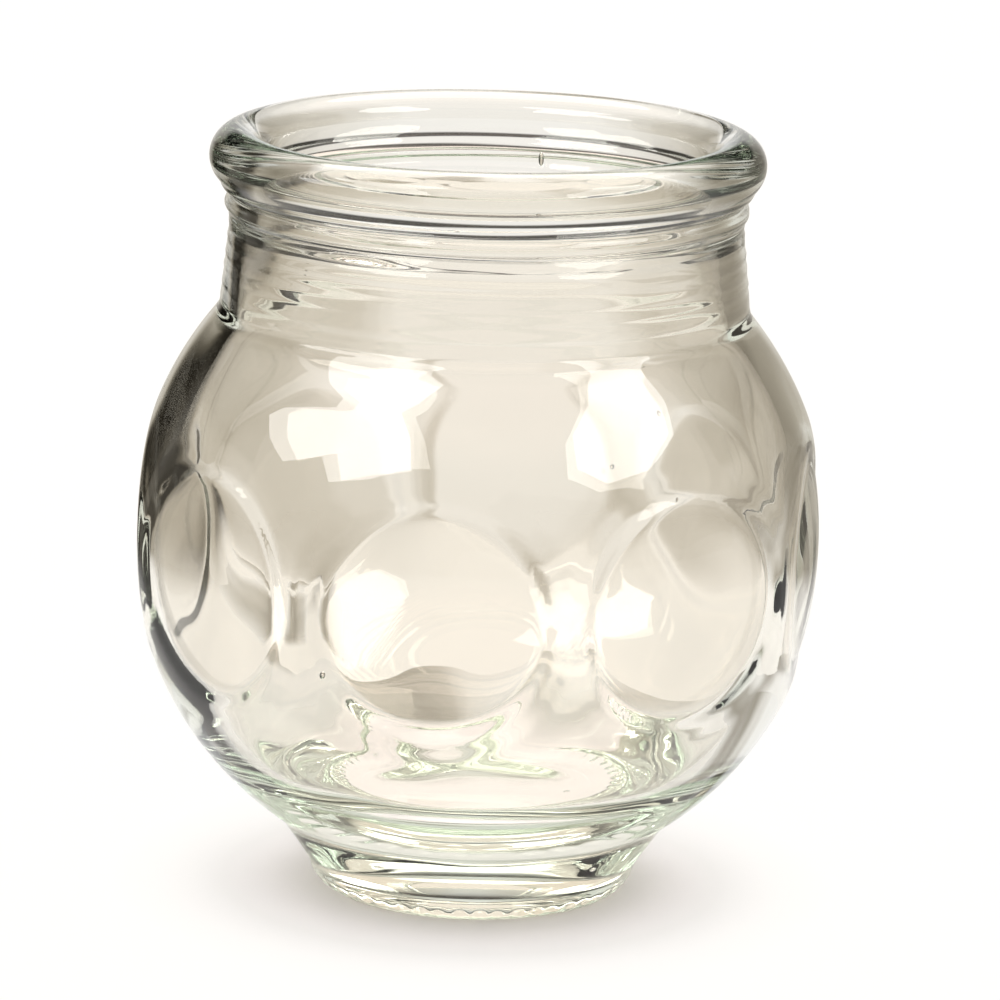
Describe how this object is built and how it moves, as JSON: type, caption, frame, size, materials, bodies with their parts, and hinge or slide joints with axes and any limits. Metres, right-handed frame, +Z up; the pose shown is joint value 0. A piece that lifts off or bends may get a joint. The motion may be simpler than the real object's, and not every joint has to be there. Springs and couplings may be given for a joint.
{
  "type": "cupping glass",
  "caption": "Clear glass fire cup: round body with a ring of pressed thumb panels, ringed neck, rolled rim round a wide mouth, heavy floor and a small foot.",
  "frame": {"origin": "centre of the foot, on the plane of the ring that the glass stands on", "axes": "+Z up along the glass's axis, out of the mouth; -Y through the middle of one pressed panel"},
  "size_m": [0.071, 0.071, 0.08],
  "materials": {
    "clear_glass": "fire-polished clear soda-lime glass, faintly green where it is thick"
  },
  "bodies": {
    "root": {"glass_cup": "clear_glass"}
  },
  "joints": []
}
